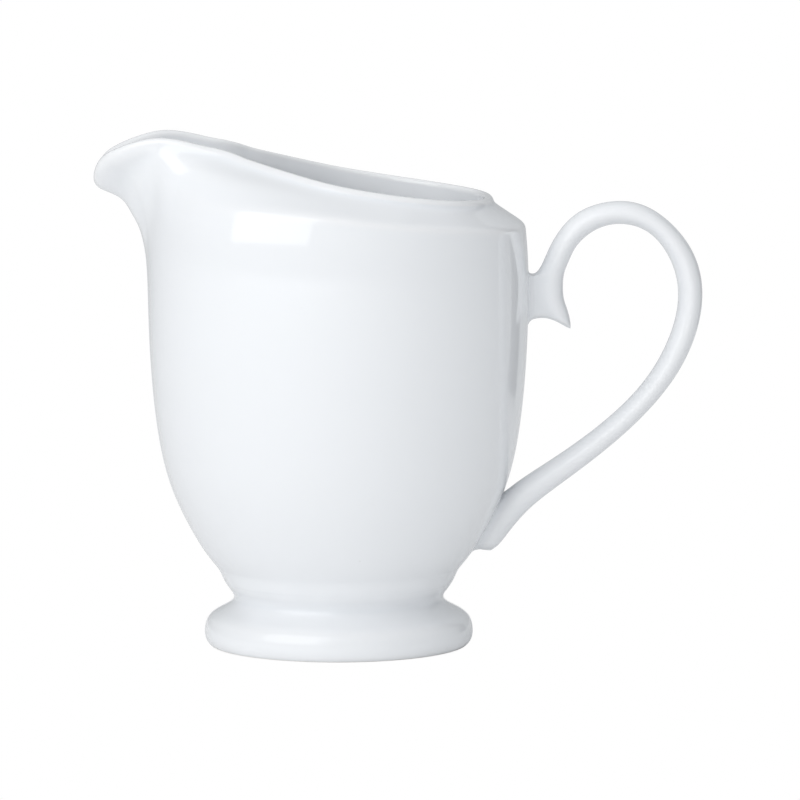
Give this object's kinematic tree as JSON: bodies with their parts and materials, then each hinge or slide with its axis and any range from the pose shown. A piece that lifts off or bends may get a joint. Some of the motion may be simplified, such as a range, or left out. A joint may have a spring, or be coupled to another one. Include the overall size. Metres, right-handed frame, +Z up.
{
  "type": "cream jug",
  "caption": "White porcelain cream jug with a drawn-out pouring lip, sloping mouth, stepped shoulder, hollow pedestal foot and a scroll handle with a thumb spur.",
  "frame": {"origin": "centre of the bounding box, on the plane that the jug stands on; the jug's own axis is at X = -12.4 mm", "axes": "+Z up, +X towards the handle, pouring lip towards -X, so the jug is symmetric about the XZ plane"},
  "size_m": [0.125, 0.0782, 0.1054],
  "materials": {
    "glaze": "clear gloss glaze over white porcelain, with a bare resting ring under the foot",
    "slip": "matt fired slip, covered by the glaze"
  },
  "bodies": {
    "root": {"jug_body": "glaze", "pedestal_foot": "glaze", "handle": "glaze", "foot_slip_joint": "slip", "upper_handle_slip_joint": "slip", "lower_handle_slip_joint": "slip"}
  },
  "joints": []
}
